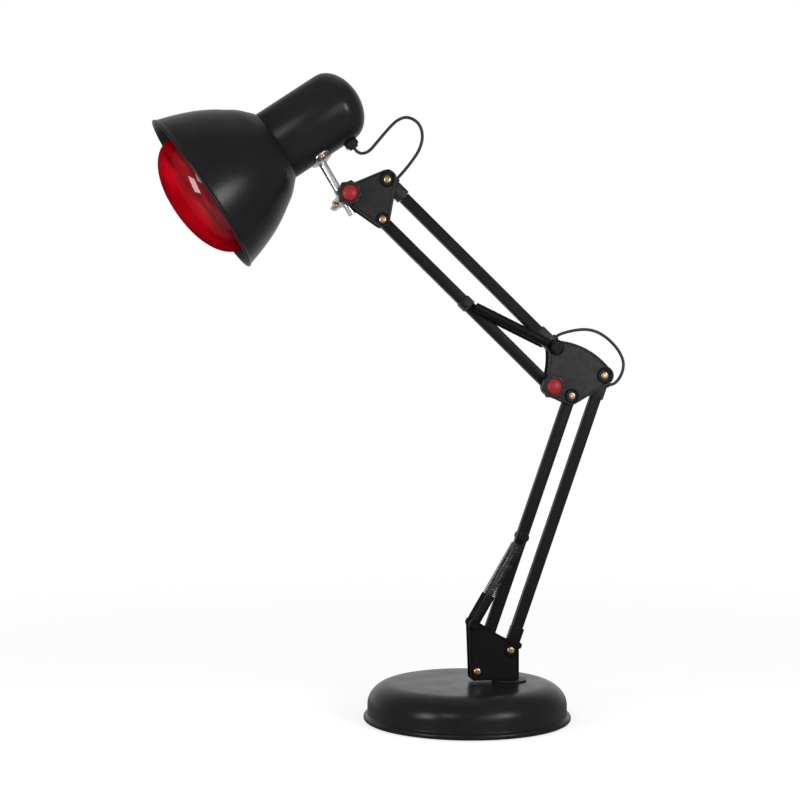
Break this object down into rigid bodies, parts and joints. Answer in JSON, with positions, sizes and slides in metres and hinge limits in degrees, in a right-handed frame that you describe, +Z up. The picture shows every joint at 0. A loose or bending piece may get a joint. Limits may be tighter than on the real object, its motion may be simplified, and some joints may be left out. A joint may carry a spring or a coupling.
{
  "type": "infrared heat therapy lamp",
  "caption": "Infrared heat lamp on a spring-balanced parallelogram arm that swivels on a round weighted base.",
  "frame": {"origin": "under the centre of the base, on the surface that the lamp stands on", "axes": "+Z up, the arm lies in the XZ plane with the lamp head towards -X, and the knobs are on the -Y side"},
  "size_m": [0.4752, 0.207, 0.6417],
  "materials": {
    "black_paint": "satin",
    "black_steel": "satin",
    "black_plastic": "matte",
    "black_flex": "satin",
    "rubber": "matte",
    "brass": "polished",
    "chrome": "polished",
    "steel": "brushed",
    "cast_iron": "rough",
    "red_plastic": "gloss",
    "red_glass": "gloss",
    "porcelain": "gloss"
  },
  "bodies": {
    "base": {"base_cover": "black_paint", "base_pad": "rubber", "base_washer": "black_plastic", "base_weight": "cast_iron", "spindle": "steel"},
    "swivel": {"base_cheek_far": "black_plastic", "base_cheek_near": "black_plastic", "base_core": "black_plastic", "base_screw_front": "brass", "base_screw_rear": "brass"},
    "lower_rear": {"cord_grommet": "rubber", "lower_cap_bottom": "black_plastic", "lower_cap_top": "black_plastic", "lower_flex": "black_flex", "lower_rear_bar": "black_steel"},
    "lower_front": {"lower_front_bar": "black_steel", "lower_sleeve_far": "black_plastic", "lower_sleeve_near": "black_plastic", "lower_spring_far": "steel", "lower_spring_near": "steel", "lower_spring_pin": "black_steel"},
    "elbow": {"elbow_bolt": "steel", "elbow_cheek_far": "black_plastic", "elbow_cheek_near": "black_plastic", "elbow_flex": "black_flex", "elbow_pin": "black_steel", "elbow_screw_front": "brass", "elbow_screw_rear": "brass", "elbow_spacer": "black_plastic"},
    "elbow_knob_body": {"elbow_knob": "black_plastic", "elbow_knob_cap": "red_plastic"},
    "upper_rear": {"head_flex": "black_flex", "upper_cap_bottom": "black_plastic", "upper_cap_top": "black_plastic", "upper_flex": "black_flex", "upper_rear_bar": "black_steel"},
    "upper_front": {"upper_front_bar": "black_steel", "upper_spring_far": "black_plastic", "upper_spring_near": "black_plastic", "upper_spring_pin": "black_plastic"},
    "head_bracket": {"head_bolt": "steel", "head_cheek_far": "black_plastic", "head_cheek_near": "black_plastic", "head_screw_front": "brass", "head_screw_rear": "brass"},
    "head_knob_body": {"head_knob": "black_plastic", "head_knob_cap": "red_plastic"},
    "tilt_clamp": {"clamp_plate_far": "chrome", "clamp_plate_near": "chrome", "clamp_screw": "brass"},
    "lamp_head": {"bulb": "red_glass", "bulb_cap": "brass", "cord_gland": "black_plastic", "housing": "black_paint", "saddle_screw_far": "brass", "saddle_screw_near": "brass", "shade": "black_paint", "shade_saddle": "chrome", "socket": "porcelain", "tilt_rod": "chrome"}
  },
  "joints": [
    {"name": "base_swivel", "type": "hinge", "parent": "base", "child": "swivel", "pos_m": [0.043, 0, 0], "axis": [0, 0, 1], "continuous": true},
    {"name": "lower_arm", "type": "hinge", "parent": "swivel", "child": "lower_rear", "pos_m": [0.04315, 0, 0.069], "axis": [0, 1, 0], "range_deg": [-40, 18]},
    {"name": "lower_front_arm", "type": "hinge", "parent": "swivel", "child": "lower_front", "pos_m": [0.0091, 0, 0.0486], "axis": [0, 1, 0], "range_deg": [-40, 18], "deforming": ["lower_spring_near", "lower_spring_far", "lower_sleeve_near", "lower_sleeve_far"]},
    {"name": "elbow_level", "type": "hinge", "parent": "lower_rear", "child": "elbow", "pos_m": [0.13994, 0, 0.34386], "axis": [0, 1, 0], "range_deg": [-18, 40], "deforming": ["elbow_flex"]},
    {"name": "elbow_knob_turn", "type": "hinge", "parent": "elbow", "child": "elbow_knob_body", "pos_m": [0.08519, 0, 0.33236], "axis": [0, 1, 0], "continuous": true},
    {"name": "upper_arm", "type": "hinge", "parent": "elbow", "child": "upper_rear", "pos_m": [0.08979, 0, 0.37191], "axis": [0, 1, 0], "range_deg": [-45, 25], "deforming": ["head_flex"]},
    {"name": "upper_front_arm", "type": "hinge", "parent": "elbow", "child": "upper_front", "pos_m": [0.08519, 0, 0.33236], "axis": [0, 1, 0], "range_deg": [-45, 25], "deforming": ["upper_spring_near", "upper_spring_far"]},
    {"name": "head_level", "type": "hinge", "parent": "upper_rear", "child": "head_bracket", "pos_m": [-0.08134, 0, 0.53716], "axis": [0, 1, 0], "range_deg": [-25, 45]},
    {"name": "head_knob_turn", "type": "hinge", "parent": "head_bracket", "child": "head_knob_body", "pos_m": [-0.11984, 0, 0.52186], "axis": [0, 1, 0], "continuous": true},
    {"name": "head_tilt", "type": "hinge", "parent": "head_bracket", "child": "tilt_clamp", "pos_m": [-0.11984, 0, 0.52186], "axis": [0, 1, 0], "range_deg": [-50, 25]},
    {"name": "rod_twist", "type": "hinge", "parent": "tilt_clamp", "child": "lamp_head", "pos_m": [-0.12477, 0, 0.5189], "axis": [-0.515, 0, 0.8572], "range_deg": [-60, 60]}
  ],
  "couplings": [
    {"joint": "lower_front_arm", "follows": "lower_arm", "ratio": 1},
    {"joint": "elbow_level", "follows": "lower_arm", "ratio": -1},
    {"joint": "upper_front_arm", "follows": "upper_arm", "ratio": 1},
    {"joint": "head_level", "follows": "upper_arm", "ratio": -1}
  ]
}
